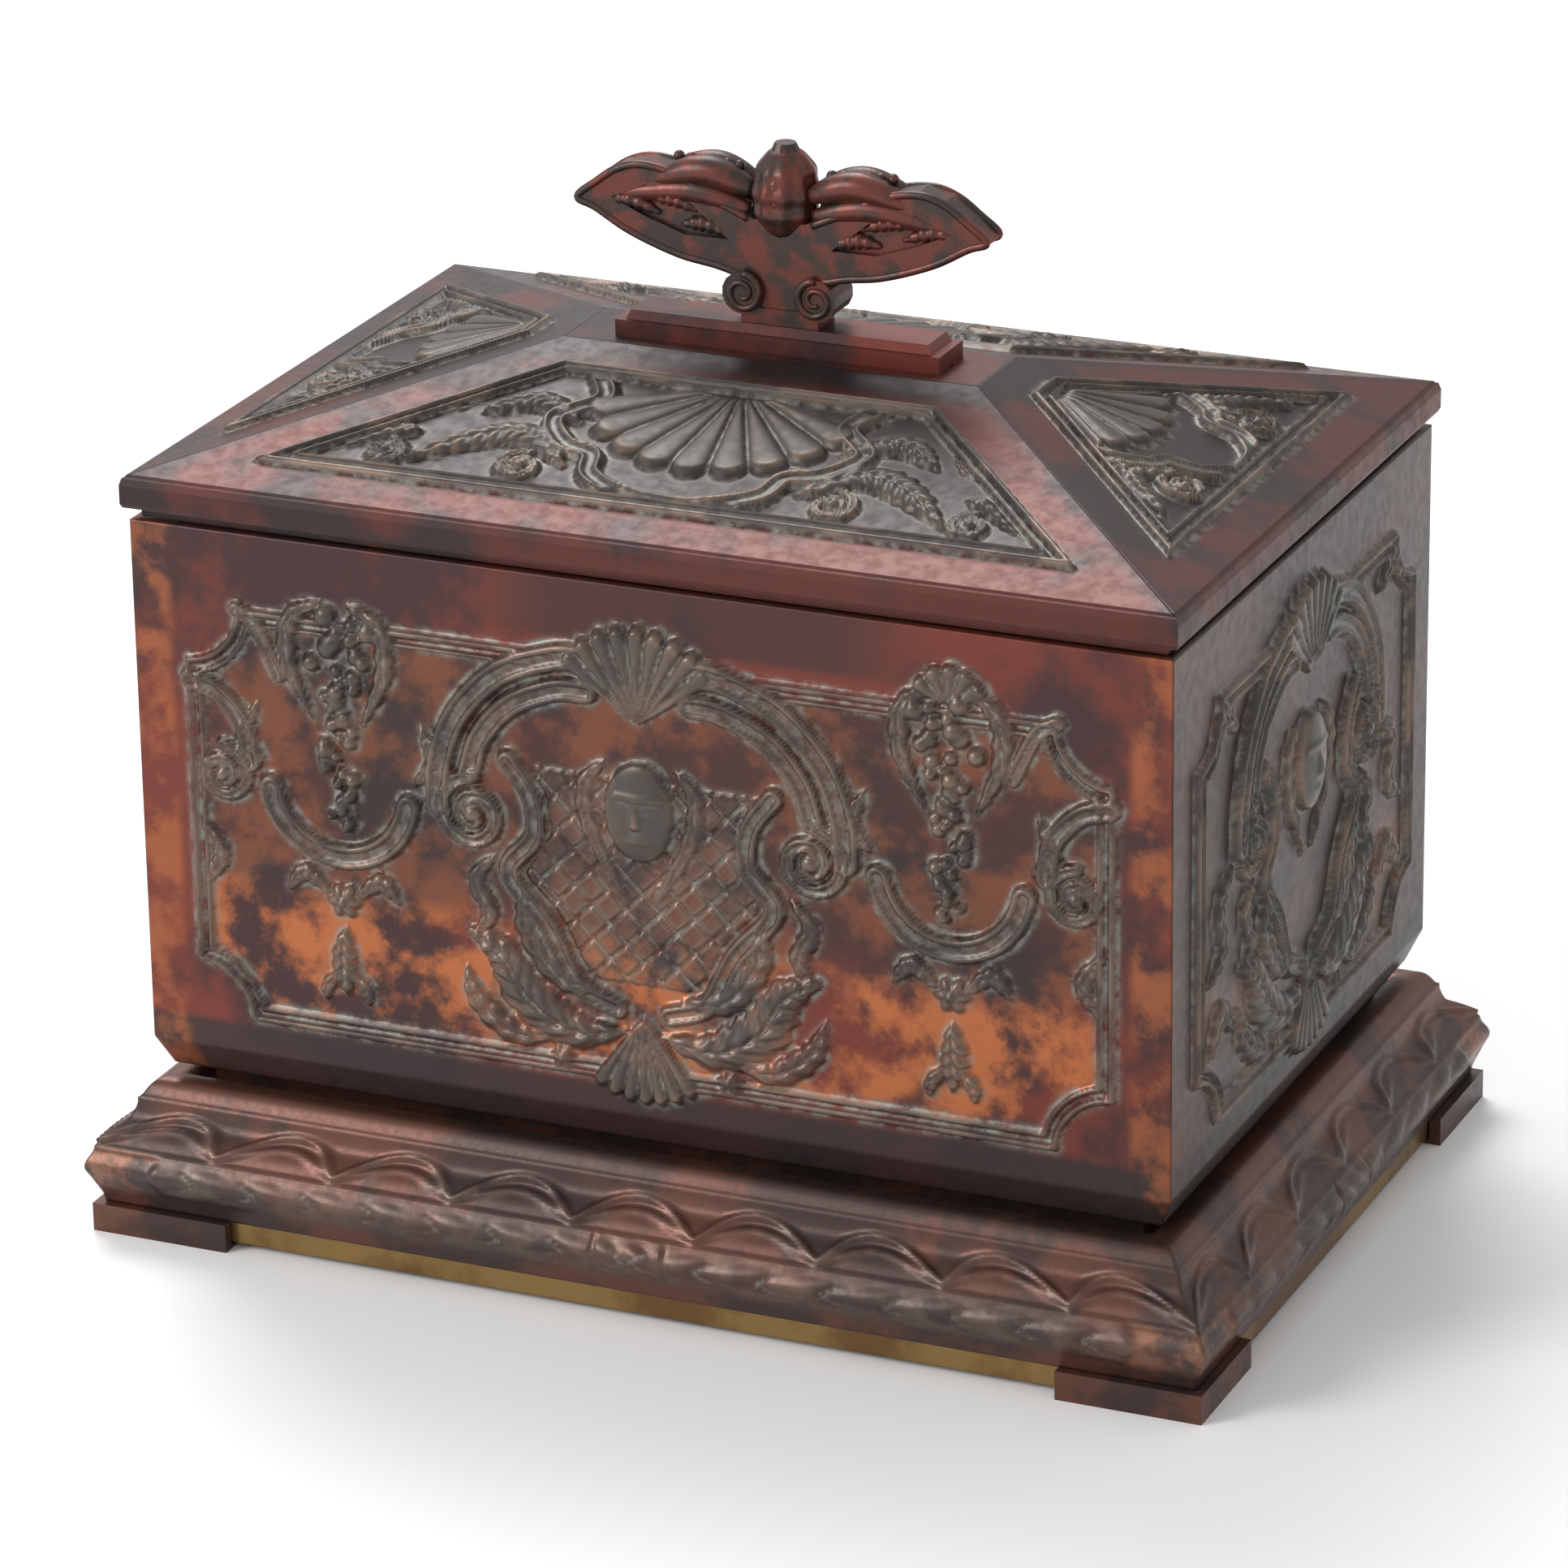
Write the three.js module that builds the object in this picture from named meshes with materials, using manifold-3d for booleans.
// Cast metal casket with a hinged, hipped lid, a winged handle and strapwork relief.
// Millimetres, +Z up, the front faces -Y, the origin is the middle of the feet's ground plane.
import * as THREE from "three";
import { mergeVertices } from "three/addons/utils/BufferGeometryUtils.js";
import Module from "manifold-3d";

const wasm = await Module();
wasm.setup();

// Driving dimensions: body
const BODY_HALF_X = 79.8;
const BODY_HALF_Y = 53.6;
const BODY_BOTTOM = 24.8;
const BODY_TOP = 109.9;
const BEVEL_HEIGHT = 4.7;
const BEVEL_SETBACK = 2.1;
const WALL_THICKNESS = 3;
const FLOOR_THICKNESS = 3;
const MITRE_GAP = 0.15;
const SEAT_GAP = 0.3;

// Driving dimensions: base
const FOOT_HEIGHT = 4.4;
const FOOT_REACH = 7.6;
const FOOT_DEPTH = 11.6;
const FOOT_ARM_FRONT = 22;
const FOOT_ARM_SIDE = 20;
const RIM_OUT = 5.5;
const RIM_WIDTH = 2.5;
const RIM_BOTTOM = 1;
const TORUS_REACH = 9.1;
const TORUS_HEIGHT = 6.1;
const HUMP_TOP = 22.8;
const LEDGE_TOP = 20.6;
const LEDGE_INNER = -9.5;
const FLANGE_THICKNESS = 3;
const FLANGE_WIDTH = 6;
const BASE_PLATE_THICKNESS = 2;
const NECK_OUTER = -6.5;
const NECK_WIDTH = 2.8;
const SCREW_RADIUS = 1.2;
const SCREW_HEAD_RADIUS = 2.4;
const SCREW_HEAD_HEIGHT = 1.2;
const SCREW_CLEARANCE = 0.25;

// Driving dimensions: lid
const LID_GAP = 1.9;
const LID_OVERHANG = 1;
const LIP_HEIGHT = 4.8;
const LID_RISE = 12.4;
const LID_TOP_HALF_X = 32.2;
const LID_TOP_HALF_Y = 7;
const LID_WALL = 2.6;
const SEAT_RING_OUT = -1;
const SEAT_RING_IN = -2.8;

// Driving dimensions: handle
const PLATE_HALF_X = 25.4;
const PLATE_HALF_Y = 4.5;
const PLATE_HEIGHT = 3.9;
const PLATE_STEP = 1.4;
const GRIP_THICKNESS = 5.2;
const WING_REACH = 32.5;
const WING_TIP_RISE = 15.7;
const WING_CREST_X = 21.5;
const WING_CREST_RISE = 22.2;
const KNOB_RADIUS = 4.5;
const KNOB_BOTTOM_RISE = 12.9;
const KNOB_TOP_RISE = 26.7;
const SCROLL_RADIUS = 3.2;
const SCROLL_X = 5.7;
const FIELD_DEPTH = 0.9;
const STUD_RADIUS = 1.8;
const STUD_ENTRY = 7;
const NUT_RADIUS = 3.6;
const NUT_HEIGHT = 2.4;
const WASHER_RADIUS = 4.6;
const WASHER_HEIGHT = 0.9;
const THREAD_CLEARANCE = 0.2;

// Driving dimensions: hinges
const HINGE_INSET = 34.8;
const HINGE_LENGTH = 24;
const KNUCKLE_RADIUS = 2;
const PIN_RADIUS = 0.85;
const PIN_CLEARANCE = 0.15;
const LEAF_THICKNESS = 0.8;
const LEAF_DROP = 9;
const LEAF_RISE = 4;
const KNUCKLE_GAP = 0.3;
const RIVET_RADIUS = 0.9;
const RIVET_HEAD_RADIUS = 1.2;
const RIVET_HEAD_HEIGHT = 0.6;
const RIVET_SPREAD = 8;
const RIVET_CLEARANCE = 0.1;

// Driving dimensions: lining and relief
const LINING_THICKNESS = 1.6;
const CUSHION_HEIGHT = 3;
const CUSHION_CROWN = 1.6;
const CUSHION_INSET = 5;
const RELIEF_HEIGHT = 1.1;
const RELIEF_SINK = 0.5;
const FRAME_MARGIN = 8;
const FRAME_BOTTOM = 5.5;
const FRAME_TOP = 69.5;
const FRAME_BAND = 1.6;
const NOTCH_RADIUS = 7.5;
const STRAP_HALF_WIDTH = 1.1;
const VOLUTE_RADIUS = 5.2;
const VOLUTE_TURNS = 1.6;
const SHELL_RADIUS = 10.5;
const SHELL_LOBES = 9;
const ROSETTE_RADIUS = 4;
const LID_PANEL_MARGIN = 8;
const LID_PANEL_BAND = 1.5;

// Levels and radii that follow from the driving dimensions
const FLANGE_TOP = FOOT_HEIGHT + FLANGE_THICKNESS;
const LID_BOTTOM = BODY_TOP + LID_GAP;
const LID_LIP_TOP = LID_BOTTOM + LIP_HEIGHT;
const LID_TOP = LID_LIP_TOP + LID_RISE;
const LID_HALF_X = BODY_HALF_X + LID_OVERHANG;
const LID_HALF_Y = BODY_HALF_Y + LID_OVERHANG;
const LID_CEILING = LID_TOP - LID_WALL;
const PLATE_TOP = LID_TOP + PLATE_HEIGHT;
const HINGE_Y = LID_HALF_Y + KNUCKLE_RADIUS + SEAT_GAP;
const HINGE_Z = (BODY_TOP + LID_BOTTOM) / 2;
const HINGE_X = BODY_HALF_X - HINGE_INSET;
const LID_LEAF_LOW = HINGE_Z + KNUCKLE_RADIUS + SEAT_GAP;
const LID_LEAF_HIGH = LID_BOTTOM + LEAF_RISE;
const LID_RIVET_Z = (LID_LEAF_LOW + LID_LEAF_HIGH) / 2;
const BODY_RIVET_Z = BODY_TOP - LEAF_DROP * 0.6;

const finish = (color, roughness, metalness) =>
  new THREE.MeshStandardMaterial({ color, roughness, metalness });
const copper = finish(0x7a3f2c, 0.45, 0.85);
const darkBronze = finish(0x3f302c, 0.5, 0.8);
const brass = finish(0xb88a3a, 0.35, 0.9);
const steel = finish(0x8c8c88, 0.4, 0.9);
const lining = finish(0x5a1420, 0.95, 0);

const casket = new THREE.Group();

/** Adds one named piece to the casket. */
function addPiece(name, geometry, material) {
  const mesh = new THREE.Mesh(geometry, material);
  mesh.name = name;
  casket.add(mesh);
  return mesh;
}

/** Turns a closed geometry into a solid that can be joined and cut. */
function toSolid(geometry) {
  const plain = geometry.clone();
  plain.deleteAttribute("normal");
  plain.deleteAttribute("uv");
  const merged = mergeVertices(plain, 1e-4);
  const mesh = new wasm.Mesh({
    numProp: 3,
    vertProperties: Float32Array.from(merged.attributes.position.array),
    triVerts: Uint32Array.from(merged.index.array),
  });
  return new wasm.Manifold(mesh);
}

/** Turns a solid back into a geometry. */
function toGeometry(solid) {
  const mesh = solid.getMesh();
  const geometry = new THREE.BufferGeometry();
  geometry.setAttribute("position", new THREE.BufferAttribute(mesh.vertProperties, 3));
  geometry.setIndex(new THREE.BufferAttribute(mesh.triVerts, 1));
  geometry.computeVertexNormals();
  return geometry;
}

/** Joins extra geometries to a base and cuts others from it. */
function carve(base, joined, cut = []) {
  let solid = toSolid(base);
  for (const piece of joined) solid = solid.add(toSolid(piece));
  for (const piece of cut) solid = solid.subtract(toSolid(piece));
  return toGeometry(solid);
}

/** Builds an indexed geometry from points and triangles. */
function fromTriangles(points, triangles) {
  const geometry = new THREE.BufferGeometry();
  geometry.setAttribute("position", new THREE.Float32BufferAttribute(points.flat(), 3));
  geometry.setIndex(triangles.flat());
  geometry.computeVertexNormals();
  return geometry;
}

/** Lofts rectangles [half x, half y, z]; closed joins the last to the first, else both are capped. */
function loftRectangles(levels, closed) {
  const points = [];
  const triangles = [];
  for (const [hx, hy, z] of levels) points.push([-hx, -hy, z], [hx, -hy, z], [hx, hy, z], [-hx, hy, z]);
  const steps = closed ? levels.length : levels.length - 1;
  for (let level = 0; level < steps; level++) {
    const low = level * 4;
    const high = ((level + 1) % levels.length) * 4;
    for (let side = 0; side < 4; side++) {
      const next = (side + 1) % 4;
      triangles.push([low + side, low + next, high + next], [low + side, high + next, high + side]);
    }
  }
  if (!closed) {
    const last = (levels.length - 1) * 4;
    triangles.push([2, 1, 0], [3, 2, 0]);
    triangles.push([last, last + 1, last + 2], [last, last + 2, last + 3]);
  }
  return fromTriangles(points, triangles);
}

/** Runs a profile of [outward, z] points round the body as one mitred frame. */
const frameAround = (profile) =>
  loftRectangles(profile.map(([out, z]) => [BODY_HALF_X + out, BODY_HALF_Y + out, z]), true);

/** Runs a profile of [outward, z] points along the side that faces -Y, with mitred ends. */
function mitredSide(profile, halfLong, halfShort) {
  const count = profile.length;
  const points = [];
  for (const [out, z] of profile) {
    const reach = halfLong + out - MITRE_GAP;
    points.push([-reach, -(halfShort + out), z], [reach, -(halfShort + out), z]);
  }
  const triangles = [];
  for (let i = 0; i < count; i++) {
    const j = (i + 1) % count;
    triangles.push([2 * i, 2 * i + 1, 2 * j + 1], [2 * i, 2 * j + 1, 2 * j]);
  }
  const contour = profile.map(([out, z]) => new THREE.Vector2(out, z));
  for (const [a, b, c] of THREE.ShapeUtils.triangulateShape(contour, [])) {
    triangles.push([2 * a, 2 * b, 2 * c], [2 * c + 1, 2 * b + 1, 2 * a + 1]);
  }
  return fromTriangles(points, triangles);
}

/** Box between two corners. */
function boxBetween(low, high) {
  const size = high.map((value, axis) => value - low[axis]);
  const middle = high.map((value, axis) => (value + low[axis]) / 2);
  return new THREE.BoxGeometry(...size).translate(...middle);
}

/** Cylinder along an axis between two places on it, its other two coordinates given by centre. */
function rod(radius, axis, from, to, centre, sides = 16) {
  const geometry = new THREE.CylinderGeometry(radius, radius, to - from, sides);
  if (axis === "x") geometry.rotateZ(Math.PI / 2);
  if (axis === "z") geometry.rotateX(Math.PI / 2);
  const middle = (from + to) / 2;
  if (axis === "x") return geometry.translate(middle, centre[0], centre[1]);
  if (axis === "y") return geometry.translate(centre[0], middle, centre[1]);
  return geometry.translate(centre[0], centre[1], middle);
}

/** Ribbon of constant width along a plane curve. */
function ribbon(curve, halfWidth, steps) {
  const left = [];
  const right = [];
  for (let i = 0; i <= steps; i++) {
    const point = curve.getPoint(i / steps);
    const along = curve.getTangent(i / steps);
    const across = new THREE.Vector2(-along.y, along.x).multiplyScalar(halfWidth);
    left.push(point.clone().add(across));
    right.unshift(point.clone().sub(across));
  }
  return new THREE.Shape([...left, ...right]);
}

/** Spiral that winds inwards from its outer end, turned by start and handed by hand. */
class Spiral extends THREE.Curve {
  constructor(centre, radius, turns, start, hand) {
    super();
    Object.assign(this, { centre, radius, turns, start, hand });
  }
  getPoint(t, target = new THREE.Vector2()) {
    const angle = this.start + this.hand * t * this.turns * 2 * Math.PI;
    const radius = this.radius * (1 - 0.75 * t);
    return target.set(this.centre[0] + radius * Math.cos(angle), this.centre[1] + radius * Math.sin(angle));
  }
}

/** Rectangle outline whose corners are cut by concave arcs. */
function notchedOutline(Kind, halfWidth, low, high, notch) {
  const outline = new Kind();
  const right = Math.PI;
  outline.moveTo(-halfWidth + notch, low).lineTo(halfWidth - notch, low);
  outline.absarc(halfWidth, low, notch, right, right / 2, true);
  outline.lineTo(halfWidth, high - notch);
  outline.absarc(halfWidth, high, notch, 1.5 * right, right, true);
  outline.lineTo(-halfWidth + notch, high);
  outline.absarc(-halfWidth, high, notch, 2 * right, 1.5 * right, true);
  outline.lineTo(-halfWidth, low + notch);
  outline.absarc(-halfWidth, low, notch, right / 2, 0, true);
  return outline;
}

/** Raised band along a notched rectangle. */
function notchedBand(halfWidth, low, high, notch) {
  const band = notchedOutline(THREE.Shape, halfWidth, low, high, notch);
  const inner = notchedOutline(THREE.Path, halfWidth - FRAME_BAND, low + FRAME_BAND, high - FRAME_BAND, notch);
  band.holes.push(inner);
  return band;
}

/** Scalloped fan of lobes about a centre, open over half a turn and a little more. */
function shellShape(centre, radius, lobes, middle) {
  const spread = 1.2 * Math.PI;
  const steps = lobes * 4;
  const points = [new THREE.Vector2(...centre)];
  for (let i = 0; i <= steps; i++) {
    const share = i / steps;
    const angle = middle + spread * (share - 0.5);
    const reach = radius * (0.84 + 0.16 * Math.abs(Math.sin(share * lobes * Math.PI)));
    points.push(new THREE.Vector2(centre[0] + reach * Math.cos(angle), centre[1] + reach * Math.sin(angle)));
  }
  return new THREE.Shape(points);
}

/** Disc outline with petals. */
function rosetteShape(centre, radius, petals) {
  const points = [];
  const steps = petals * 4;
  for (let i = 0; i < steps; i++) {
    const angle = (i / steps) * 2 * Math.PI;
    const reach = radius * (0.8 + 0.2 * Math.cos(angle * petals));
    points.push(new THREE.Vector2(centre[0] + reach * Math.cos(angle), centre[1] + reach * Math.sin(angle)));
  }
  return new THREE.Shape(points);
}

/** Extrudes wall ornament and lays it on the face that looks along -Y. */
function onWall(shape, halfShort, height = RELIEF_HEIGHT) {
  const geometry = new THREE.ExtrudeGeometry(shape, {
    depth: height + RELIEF_SINK,
    bevelEnabled: false,
    curveSegments: 5,
  });
  const place = new THREE.Matrix4().makeBasis(
    new THREE.Vector3(1, 0, 0), new THREE.Vector3(0, 0, 1), new THREE.Vector3(0, -1, 0));
  place.setPosition(0, -halfShort + RELIEF_SINK, BODY_BOTTOM + BEVEL_HEIGHT);
  return geometry.applyMatrix4(place);
}

/** Strapwork of one wall: notched frame, arch, volutes, shells and, on a long wall, side rosettes. */
function wallOrnament(halfLong, archHalf, isLong) {
  const v = (x, z) => new THREE.Vector2(x, z);
  const arch = new THREE.CatmullRomCurve3([
    v(-archHalf, 51.5), v(-archHalf * 0.55, 62), v(0, 72), v(archHalf * 0.55, 62), v(archHalf, 51.5),
  ].map((p) => new THREE.Vector3(p.x, p.y, 0)));
  const shapes = [
    notchedBand(halfLong - FRAME_MARGIN, FRAME_BOTTOM, FRAME_TOP, NOTCH_RADIUS),
    ribbon(arch, STRAP_HALF_WIDTH, 16),
    shellShape([0, 64], SHELL_RADIUS, SHELL_LOBES, Math.PI / 2),
    shellShape([0, 3], SHELL_RADIUS * 0.8, SHELL_LOBES - 2, Math.PI / 2),
  ];
  for (const hand of [-1, 1]) {
    const centre = [hand * archHalf, 51.5 - VOLUTE_RADIUS];
    shapes.push(ribbon(new Spiral(centre, VOLUTE_RADIUS, VOLUTE_TURNS, Math.PI / 2, -hand), STRAP_HALF_WIDTH, 22));
    if (isLong) {
      shapes.push(rosetteShape([hand * 46, 27], ROSETTE_RADIUS, 8));
      shapes.push(ribbon(new THREE.QuadraticBezierCurve(
        v(hand * 34, 52), v(hand * 46, 32), v(hand * 58, 52)), STRAP_HALF_WIDTH, 8));
    }
  }
  return shapes;
}

/** Moulded plinth: a torus, a sloping band and a rounded top edge, with a flange inside. */
function addPlinth() {
  const under = TORUS_REACH - 3;
  const torusMid = FOOT_HEIGHT + TORUS_HEIGHT;
  const plinth = frameAround([
    [under, FOOT_HEIGHT],
    [under + 0.1, FOOT_HEIGHT + 1.2],
    [TORUS_REACH - 0.8, torusMid - 1.9],
    [TORUS_REACH, torusMid],
    [TORUS_REACH - 1.4, torusMid + 2.3],
    [TORUS_REACH - 3.6, torusMid + 4.7],
    [3, HUMP_TOP - 5.6],
    [1.9, HUMP_TOP - 2.9],
    [0.4, HUMP_TOP - 0.4],
    [-1.2, HUMP_TOP],
    [-3.6, HUMP_TOP - 0.4],
    [-5.5, LEDGE_TOP],
    [LEDGE_INNER, LEDGE_TOP],
    [LEDGE_INNER, FLANGE_TOP],
    [LEDGE_INNER - FLANGE_WIDTH, FLANGE_TOP],
    [LEDGE_INNER - FLANGE_WIDTH, FOOT_HEIGHT],
  ]);
  const plateHalfX = BODY_HALF_X + LEDGE_INNER - SEAT_GAP;
  const plateHalfY = BODY_HALF_Y + LEDGE_INNER - SEAT_GAP;
  const plateTop = FLANGE_TOP + BASE_PLATE_THICKNESS;
  const plate = boxBetween([-plateHalfX, -plateHalfY, FLANGE_TOP], [plateHalfX, plateHalfY, plateTop]);
  const land = boxBetween([FLANGE_WIDTH - plateHalfX, FLANGE_WIDTH - plateHalfY, FOOT_HEIGHT],
    [plateHalfX - FLANGE_WIDTH, plateHalfY - FLANGE_WIDTH, FLANGE_TOP]);
  const screwX = BODY_HALF_X + LEDGE_INNER - FLANGE_WIDTH / 2;
  const screwY = BODY_HALF_Y + LEDGE_INNER - FLANGE_WIDTH / 2;
  const holes = [];
  let number = 1;
  for (const sx of [-1, 1]) {
    for (const sy of [-1, 1]) {
      const centre = [sx * screwX, sy * screwY];
      holes.push(rod(SCREW_RADIUS + SCREW_CLEARANCE, "z", FOOT_HEIGHT - 1, plateTop + 1, centre, 12));
      const head = rod(SCREW_HEAD_RADIUS, "z", FOOT_HEIGHT - SCREW_HEAD_HEIGHT, FOOT_HEIGHT, centre, 12);
      const shank = rod(SCREW_RADIUS, "z", FOOT_HEIGHT - SCREW_HEAD_HEIGHT / 2, plateTop, centre, 12);
      addPiece(`base_screw_${number++}`, carve(head, [shank]), steel);
    }
  }
  addPiece("plinth_moulding", carve(plinth, [], holes), darkBronze);
  addPiece("base_plate", carve(plate, [land], holes), darkBronze);
}

/** Brass rim under the plinth and the four bracket feet that it runs through. */
function addRimAndFeet() {
  const rimTop = FOOT_HEIGHT;
  const ring = (slack) => frameAround([
    [RIM_OUT + slack, RIM_BOTTOM - slack],
    [RIM_OUT + slack, rimTop + slack],
    [RIM_OUT - RIM_WIDTH - slack, rimTop + slack],
    [RIM_OUT - RIM_WIDTH - slack, RIM_BOTTOM - slack],
  ]);
  addPiece("base_rim", ring(0), brass);
  const outX = BODY_HALF_X + FOOT_REACH;
  const outY = BODY_HALF_Y + FOOT_REACH;
  for (const [side, sx] of [["left", -1], ["right", 1]]) {
    for (const [end, sy] of [["front", -1], ["back", 1]]) {
      const arm = (reachX, reachY) => {
        const xs = [sx * outX, sx * (outX - reachX)].sort((a, b) => a - b);
        const ys = [sy * outY, sy * (outY - reachY)].sort((a, b) => a - b);
        return boxBetween([xs[0], ys[0], 0], [xs[1], ys[1], FOOT_HEIGHT]);
      };
      const foot = carve(arm(FOOT_ARM_FRONT, FOOT_DEPTH), [arm(FOOT_DEPTH, FOOT_ARM_SIDE)], [ring(SEAT_GAP)]);
      addPiece(`foot_${end}_${side}`, foot, darkBronze);
    }
  }
}

/** Set-back neck, floor and the four mitred walls with their strapwork. */
function addBody() {
  addPiece("neck_frame", frameAround([
    [NECK_OUTER, LEDGE_TOP], [NECK_OUTER, BODY_BOTTOM],
    [NECK_OUTER - NECK_WIDTH, BODY_BOTTOM], [NECK_OUTER - NECK_WIDTH, LEDGE_TOP],
  ]), darkBronze);
  const floorInset = BEVEL_SETBACK + WALL_THICKNESS + SEAT_GAP;
  const floorX = BODY_HALF_X - floorInset;
  const floorY = BODY_HALF_Y - floorInset;
  addPiece("body_floor", boxBetween([-floorX, -floorY, BODY_BOTTOM],
    [floorX, floorY, BODY_BOTTOM + FLOOR_THICKNESS]), darkBronze);
  const profile = [
    [-BEVEL_SETBACK, BODY_BOTTOM],
    [0, BODY_BOTTOM + BEVEL_HEIGHT],
    [0, BODY_TOP],
    [-WALL_THICKNESS, BODY_TOP],
    [-WALL_THICKNESS, BODY_BOTTOM + BEVEL_HEIGHT],
    [-BEVEL_SETBACK - WALL_THICKNESS, BODY_BOTTOM],
  ];
  const sides = [
    ["front", BODY_HALF_X, BODY_HALF_Y, 0, 28.5, true],
    ["right", BODY_HALF_Y, BODY_HALF_X, 1, 26, false],
    ["back", BODY_HALF_X, BODY_HALF_Y, 2, 28.5, true],
    ["left", BODY_HALF_Y, BODY_HALF_X, 3, 26, false],
  ];
  for (const [name, halfLong, halfShort, quarter, archHalf, isLong] of sides) {
    const ornament = wallOrnament(halfLong, archHalf, isLong).map((shape) => onWall(shape, halfShort));
    const cuts = name === "back" ? hingeSeats() : [];
    const wall = carve(mitredSide(profile, halfLong, halfShort), ornament, cuts);
    addPiece(`wall_${name}`, wall.rotateZ(quarter * Math.PI / 2), copper);
  }
}

/** Pockets that clear the relief and the rivets from the hinge leaves, in the front wall's place. */
function hingeSeats() {
  const cuts = [];
  for (const side of [-1, 1]) {
    const x = side * HINGE_X;
    const reach = HINGE_LENGTH / 2 + SEAT_GAP;
    cuts.push(boxBetween([x - reach, -BODY_HALF_Y - RELIEF_HEIGHT - 1, BODY_TOP - LEAF_DROP - 1],
      [x + reach, -BODY_HALF_Y, BODY_TOP + 1]));
    for (const end of [-1, 1]) {
      const centre = [x + end * RIVET_SPREAD, BODY_RIVET_Z];
      cuts.push(rod(RIVET_RADIUS + RIVET_CLEARANCE, "y", -BODY_HALF_Y - 1,
        -BODY_HALF_Y + WALL_THICKNESS + 1, centre, 8));
    }
  }
  return cuts;
}

/** Moulded trapezoid band and shell on one slope of the lid, placed on the slope that looks along -Y. */
function slopeOrnament(halfLong, halfShort, topHalfLong, topHalfShort) {
  const run = halfShort - topHalfShort;
  const slant = Math.hypot(run, LID_RISE);
  const hipRun = (halfLong - topHalfLong) / slant;
  const trapezoid = (Kind, margin) => {
    const low = margin;
    const high = slant - margin;
    const bottom = halfLong - hipRun * low - margin * 1.4;
    const top = Math.max(halfLong - hipRun * high - margin * 1.4, 1.5);
    return new Kind([[-bottom, low], [bottom, low], [top, high], [-top, high]].map((p) => new THREE.Vector2(...p)));
  };
  const band = trapezoid(THREE.Shape, LID_PANEL_MARGIN);
  band.holes.push(trapezoid(THREE.Path, LID_PANEL_MARGIN + LID_PANEL_BAND));
  const shell = shellShape([0, slant - LID_PANEL_MARGIN - 7], SHELL_RADIUS, SHELL_LOBES, -Math.PI / 2);
  const upSlope = new THREE.Vector3(0, run / slant, LID_RISE / slant);
  const normal = new THREE.Vector3(0, -LID_RISE / slant, run / slant);
  const place = new THREE.Matrix4().makeBasis(new THREE.Vector3(1, 0, 0), upSlope, normal);
  place.setPosition(new THREE.Vector3(0, -halfShort, LID_LIP_TOP).addScaledVector(normal, -RELIEF_SINK));
  return [band, shell].map((shape) => new THREE.ExtrudeGeometry(shape, {
    depth: RELIEF_HEIGHT + RELIEF_SINK, bevelEnabled: false, curveSegments: 4,
  }).applyMatrix4(place));
}

/** Hollow hipped lid with a vertical lip, a seat ring and a panel on each slope. */
function addLid() {
  const inner = LID_WALL + LID_OVERHANG;
  const shell = loftRectangles([
    [LID_TOP_HALF_X - 1, LID_TOP_HALF_Y - 1, LID_CEILING],
    [LID_HALF_X - inner, LID_HALF_Y - inner, LID_LIP_TOP - 1],
    [BODY_HALF_X + SEAT_RING_IN, BODY_HALF_Y + SEAT_RING_IN, BODY_TOP + SEAT_GAP],
    [BODY_HALF_X + SEAT_RING_OUT, BODY_HALF_Y + SEAT_RING_OUT, BODY_TOP + SEAT_GAP],
    [BODY_HALF_X + SEAT_RING_OUT, BODY_HALF_Y + SEAT_RING_OUT, LID_BOTTOM],
    [LID_HALF_X, LID_HALF_Y, LID_BOTTOM],
    [LID_HALF_X, LID_HALF_Y, LID_LIP_TOP - 0.8],
    [LID_HALF_X - 0.8, LID_HALF_Y - 0.8, LID_LIP_TOP],
    [LID_TOP_HALF_X, LID_TOP_HALF_Y, LID_TOP],
  ], false);
  const ornament = [];
  for (let quarter = 0; quarter < 4; quarter++) {
    const isLong = quarter % 2 === 0;
    const slope = isLong
      ? slopeOrnament(LID_HALF_X, LID_HALF_Y, LID_TOP_HALF_X, LID_TOP_HALF_Y)
      : slopeOrnament(LID_HALF_Y, LID_HALF_X, LID_TOP_HALF_Y, LID_TOP_HALF_X);
    ornament.push(...slope.map((piece) => piece.rotateZ(quarter * Math.PI / 2)));
  }
  const bore = rod(STUD_RADIUS + THREAD_CLEARANCE, "z", LID_CEILING - 1, LID_TOP + 1, [0, 0], 12);
  const rivets = [];
  for (const side of [-1, 1]) {
    for (const end of [-1, 1]) {
      const centre = [side * HINGE_X + end * RIVET_SPREAD, LID_RIVET_Z];
      rivets.push(rod(RIVET_RADIUS + RIVET_CLEARANCE, "y", LID_HALF_Y - inner - 1, LID_HALF_Y + 1, centre, 8));
    }
  }
  addPiece("lid_shell", carve(shell, ornament, [bore, ...rivets]), copper);
}

/** Outline of one half of the winged grip, mirrored into a whole. */
function gripOutline() {
  const z = PLATE_TOP;
  const half = [
    [3.6, 0], [3.2, 3], [6, 6.6], [10, 7.6], [16, 8.6], [WING_CREST_X + 2, 11.2], [29, 14.2],
    [WING_REACH, WING_TIP_RISE], [29, 18.6], [25.5, 21.2], [WING_CREST_X, WING_CREST_RISE],
    [16, 21.2], [10, 18], [4, 15.5],
  ];
  const right = half.map(([x, rise]) => new THREE.Vector2(x, z + rise));
  const left = half.map(([x, rise]) => new THREE.Vector2(-x, z + rise)).reverse();
  return new THREE.Shape([...right, ...left]);
}

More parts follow.
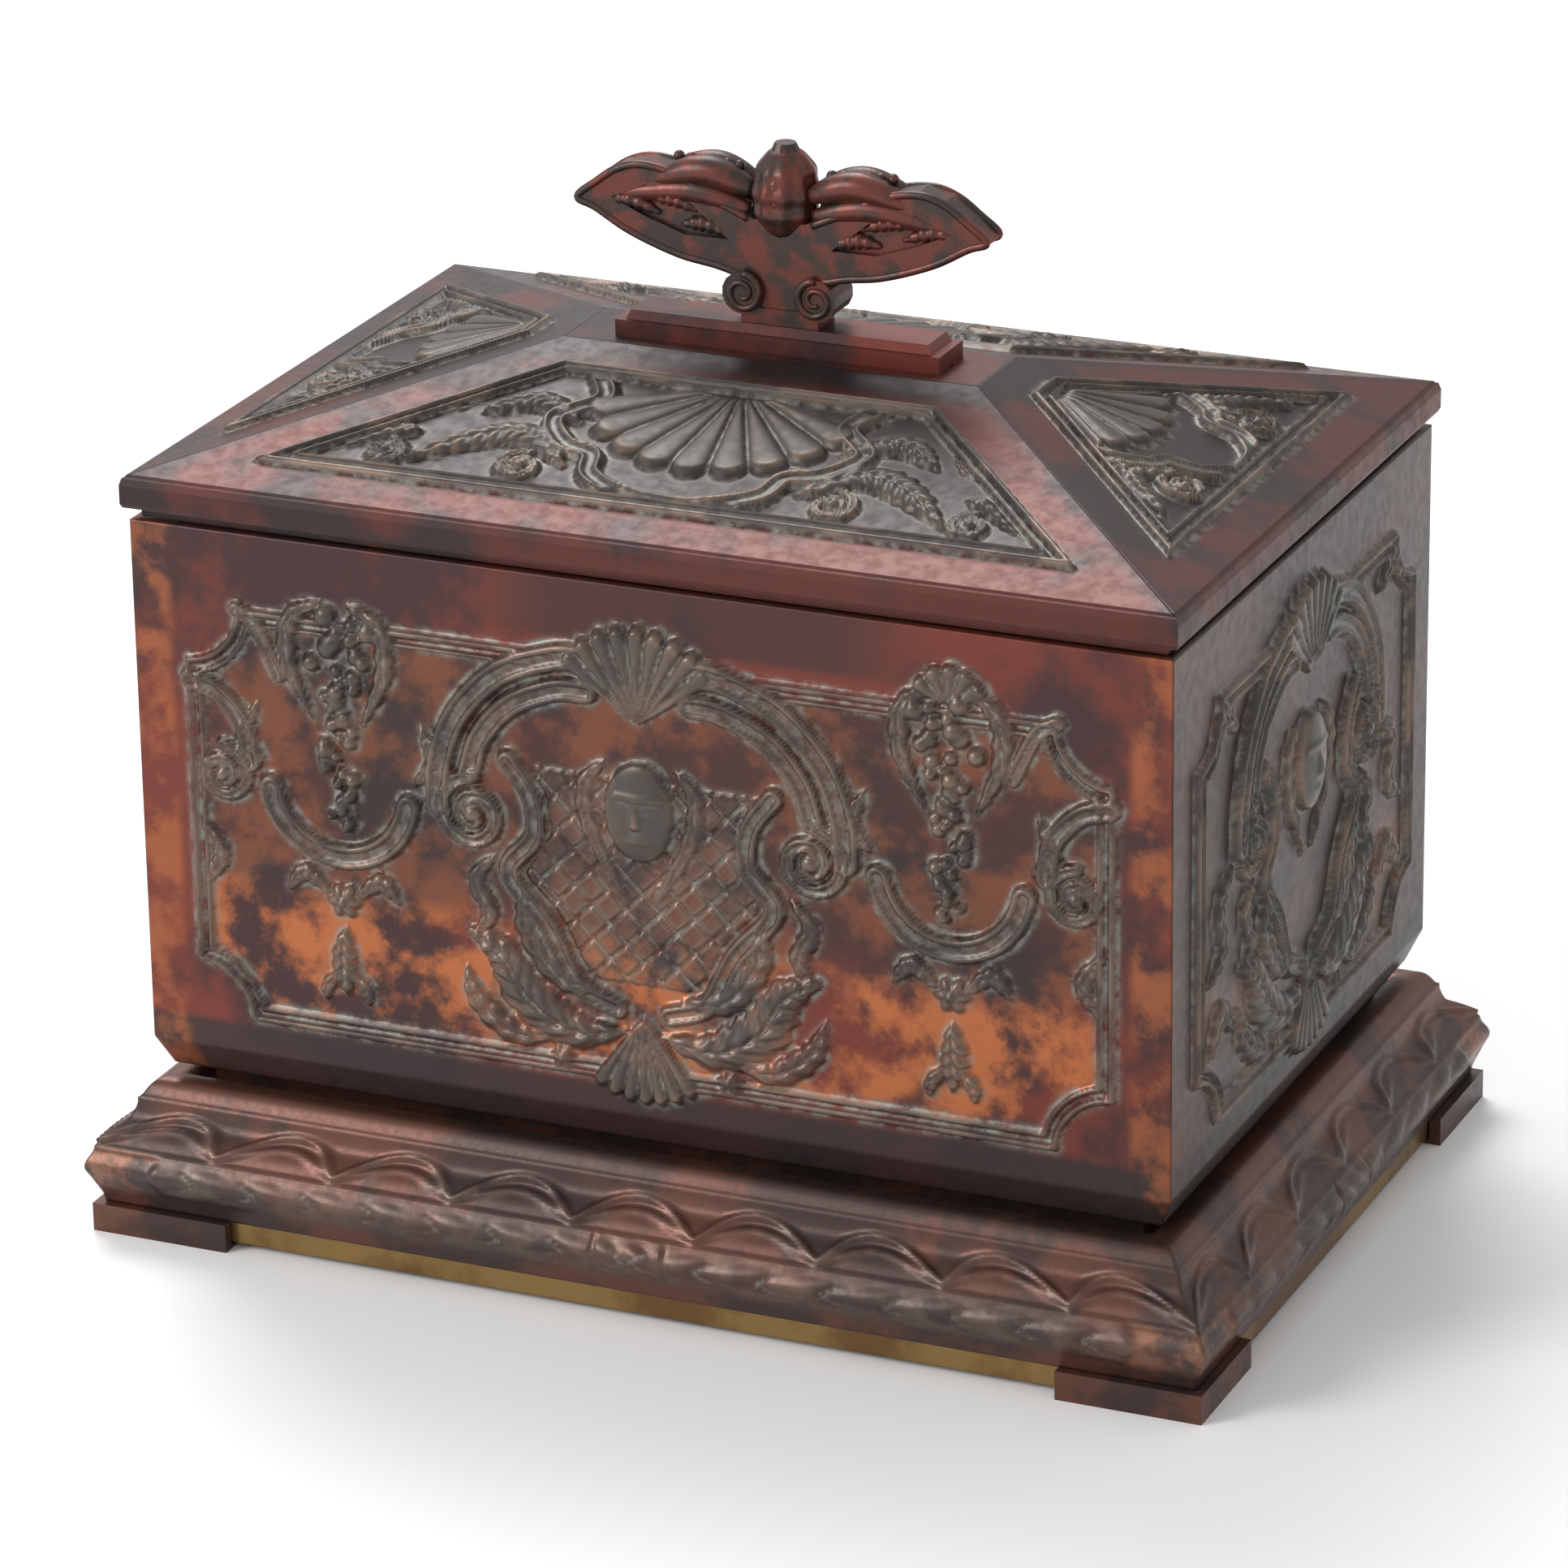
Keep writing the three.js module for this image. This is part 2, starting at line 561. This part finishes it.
/** Recessed field of one wing. */
function wingField(hand) {
  const points = [[8, 12], [15, 12], [21, 14], [26.5, 16.4], [21, 18.8], [14, 16.8]];
  const placed = points.map(([x, rise]) => new THREE.Vector2(hand * x, PLATE_TOP + rise));
  return new THREE.Shape(hand > 0 ? placed : placed.reverse());
}

/** Winged handle: stepped plate, grip with scrolls and knob, and the stud, washer and nut that hold it. */
function addHandle() {
  const upright = (shape, depth) => new THREE.ExtrudeGeometry(shape, {
    depth, bevelEnabled: false,
  }).rotateX(Math.PI / 2).translate(0, depth / 2, 0);
  const studHole = rod(STUD_RADIUS + THREAD_CLEARANCE, "z", LID_TOP - 1, PLATE_TOP + STUD_ENTRY + SEAT_GAP, [0, 0], 12);
  const step = loftRectangles([
    [PLATE_HALF_X, PLATE_HALF_Y, LID_TOP],
    [PLATE_HALF_X, PLATE_HALF_Y, PLATE_TOP - PLATE_STEP],
    [PLATE_HALF_X - PLATE_STEP, PLATE_HALF_Y - PLATE_STEP / 2, PLATE_TOP - PLATE_STEP],
    [PLATE_HALF_X - PLATE_STEP * 1.5, PLATE_HALF_Y - PLATE_STEP * 0.75, PLATE_TOP],
  ], false);
  addPiece("handle_plate", carve(step, [], [studHole]), copper);

  const knobMiddle = (KNOB_BOTTOM_RISE + KNOB_TOP_RISE) / 2;
  const knobHalf = (KNOB_TOP_RISE - KNOB_BOTTOM_RISE) / 2;
  const knobProfile = [[0, -1], [0.55, -1], [0.8, -0.75], [1, -0.2], [1, 0.25], [0.8, 0.6], [0.5, 0.8], [0.35, 1], [0, 1]]
    .map(([r, share]) => new THREE.Vector2(r * KNOB_RADIUS, share * knobHalf));
  const knob = new THREE.LatheGeometry(knobProfile, 14).rotateX(Math.PI / 2)
    .translate(0, 0, PLATE_TOP + knobMiddle);
  const scrolls = [-1, 1].map((hand) => rod(SCROLL_RADIUS, "y", -PLATE_HALF_Y + 1.2, PLATE_HALF_Y - 1.2,
    [hand * SCROLL_X, PLATE_TOP + SCROLL_RADIUS + 1.2], 14));
  const collar = boxBetween([-6, -3, PLATE_TOP], [6, 3, PLATE_TOP + 2.4]);
  const fields = [];
  for (const hand of [-1, 1]) {
    for (const face of [-1, 1]) {
      const pocket = upright(wingField(hand), FIELD_DEPTH * 2);
      fields.push(pocket.translate(0, face * GRIP_THICKNESS / 2, 0));
    }
  }
  const grip = carve(upright(gripOutline(), GRIP_THICKNESS), [knob, collar, ...scrolls], [...fields, studHole]);
  addPiece("handle_grip", grip, darkBronze);

  const nutTop = LID_CEILING - WASHER_HEIGHT;
  const passage = rod(STUD_RADIUS + THREAD_CLEARANCE, "z", nutTop - NUT_HEIGHT - 1, LID_CEILING + 1, [0, 0], 12);
  addPiece("handle_washer", carve(rod(WASHER_RADIUS, "z", nutTop, LID_CEILING, [0, 0], 20), [], [passage]), steel);
  addPiece("handle_nut", carve(rod(NUT_RADIUS, "z", nutTop - NUT_HEIGHT, nutTop, [0, 0], 6), [], [passage]), steel);
  addPiece("handle_stud", rod(STUD_RADIUS, "z", nutTop - NUT_HEIGHT - 1, PLATE_TOP + STUD_ENTRY, [0, 0], 12), steel);
}

/** Knuckle sleeves of one leaf between places along the hinge line. */
function knuckles(spans) {
  return spans.map(([from, to]) => rod(KNUCKLE_RADIUS, "x", from, to, [HINGE_Y, HINGE_Z], 14));
}

/** Two butt hinges on the back edge, each with two leaves, a pin and four rivets. */
function addHinges() {
  const third = HINGE_LENGTH / 3;
  for (const [side, sx] of [["left", -1], ["right", 1]]) {
    const x = sx * HINGE_X;
    const low = x - HINGE_LENGTH / 2;
    const high = x + HINGE_LENGTH / 2;
    const pinHole = rod(PIN_RADIUS + PIN_CLEARANCE, "x", low - 1, high + 1, [HINGE_Y, HINGE_Z], 14);
    const middle = [low + third, high - third];
    const bodySpans = [[low, middle[0] - KNUCKLE_GAP / 2], [middle[1] + KNUCKLE_GAP / 2, high]];
    const lidSpans = [[middle[0] + KNUCKLE_GAP / 2, middle[1] - KNUCKLE_GAP / 2]];
    const rivetPlaces = [-1, 1].map((end) => x + end * RIVET_SPREAD);

    const bodyLeaf = boxBetween([low, BODY_HALF_Y, BODY_TOP - LEAF_DROP], [high, BODY_HALF_Y + LEAF_THICKNESS, BODY_TOP - 0.8]);
    const bodyWebs = bodySpans.map(([from, to]) => boxBetween(
      [from, BODY_HALF_Y, BODY_TOP - 1.8], [to, HINGE_Y, BODY_TOP - 0.8]));
    const bodyHoles = rivetPlaces.map((px) => rod(RIVET_RADIUS + RIVET_CLEARANCE, "y",
      BODY_HALF_Y - 1, BODY_HALF_Y + LEAF_THICKNESS + 1, [px, BODY_RIVET_Z], 8));
    addPiece(`hinge_body_leaf_${side}`,
      carve(bodyLeaf, [...bodyWebs, ...knuckles(bodySpans)], [pinHole, ...bodyHoles]), brass);

    const lidFaceY = LID_HALF_Y + LEAF_THICKNESS;
    const lidLeaf = boxBetween([low, LID_HALF_Y, LID_LEAF_LOW], [high, lidFaceY, LID_LEAF_HIGH]);
    const lidWebs = lidSpans.flatMap(([from, to]) => [
      boxBetween([from, LID_HALF_Y, LID_BOTTOM], [to, HINGE_Y, LID_BOTTOM + 0.9]),
      boxBetween([from, LID_HALF_Y, LID_BOTTOM], [to, lidFaceY, LID_LEAF_HIGH - 0.5]),
    ]);
    const lidHoles = rivetPlaces.map((px) => rod(RIVET_RADIUS + RIVET_CLEARANCE, "y",
      LID_HALF_Y - 1, LID_HALF_Y + LEAF_THICKNESS + 1, [px, LID_RIVET_Z], 8));
    addPiece(`hinge_lid_leaf_${side}`,
      carve(lidLeaf, [...lidWebs, ...knuckles(lidSpans)], [pinHole, ...lidHoles]), brass);
    addPiece(`hinge_pin_${side}`, rod(PIN_RADIUS, "x", low, high, [HINGE_Y, HINGE_Z], 14), steel);

    rivetPlaces.forEach((px, index) => {
      const bodyFace = BODY_HALF_Y + LEAF_THICKNESS;
      for (const [owner, face, z] of [["body", bodyFace, BODY_RIVET_Z], ["lid", lidFaceY, LID_RIVET_Z]]) {
        const head = rod(RIVET_HEAD_RADIUS, "y", face, face + RIVET_HEAD_HEIGHT, [px, z], 10);
        const shank = rod(RIVET_RADIUS, "y", face - LEAF_THICKNESS - WALL_THICKNESS / 2, face + RIVET_HEAD_HEIGHT / 2, [px, z], 8);
        addPiece(`rivet_${owner}_${side}_${index + 1}`, carve(head, [shank]), brass);
      }
    });
  }
}

/** Fabric-covered boards inside the walls, the floor cushion and the lid's lining. */
function addLining() {
  const low = BODY_BOTTOM + BEVEL_HEIGHT + 0.5;
  const high = BODY_TOP - 1.5;
  const face = -WALL_THICKNESS - SEAT_GAP;
  const profile = [[face, low], [face, high], [face - LINING_THICKNESS, high - 0.6], [face - LINING_THICKNESS, low]];
  const sides = [["front", BODY_HALF_X, BODY_HALF_Y], ["right", BODY_HALF_Y, BODY_HALF_X],
    ["back", BODY_HALF_X, BODY_HALF_Y], ["left", BODY_HALF_Y, BODY_HALF_X]];
  sides.forEach(([name, halfLong, halfShort], quarter) => {
    addPiece(`lining_${name}`, mitredSide(profile, halfLong, halfShort).rotateZ(quarter * Math.PI / 2), lining);
  });
  const inset = WALL_THICKNESS + LINING_THICKNESS + 3 * SEAT_GAP;
  const floorTop = BODY_BOTTOM + FLOOR_THICKNESS;
  const reach = (extra, z) => [BODY_HALF_X - inset - extra, BODY_HALF_Y - inset - extra, z];
  addPiece("lining_cushion", loftRectangles([
    reach(1.2, floorTop + SEAT_GAP),
    reach(0, floorTop + SEAT_GAP + CUSHION_HEIGHT / 2),
    reach(1.5, floorTop + CUSHION_HEIGHT),
    reach(CUSHION_INSET, floorTop + CUSHION_HEIGHT + CUSHION_CROWN * 0.6),
    reach(CUSHION_INSET * 4, floorTop + CUSHION_HEIGHT + CUSHION_CROWN),
  ], false), lining);

  const inner = LID_WALL + LID_OVERHANG + SEAT_GAP;
  const opening = WASHER_RADIUS + 2;
  const slopeDrop = LINING_THICKNESS + SEAT_GAP;
  addPiece("lid_lining", loftRectangles([
    [LID_TOP_HALF_X - 1, opening, LID_CEILING - SEAT_GAP * 2 - slopeDrop],
    [LID_HALF_X - inner - 5, LID_HALF_Y - inner - 5, LID_LIP_TOP - slopeDrop],
    [LID_HALF_X - inner - 5, LID_HALF_Y - inner - 5, LID_LIP_TOP - slopeDrop + LINING_THICKNESS],
    [LID_TOP_HALF_X - 1, opening, LID_CEILING - SEAT_GAP * 2 - slopeDrop + LINING_THICKNESS],
  ], true), lining);
}

addPlinth();
addRimAndFeet();
addBody();
addLid();
addHandle();
addHinges();
addLining();

export default casket;
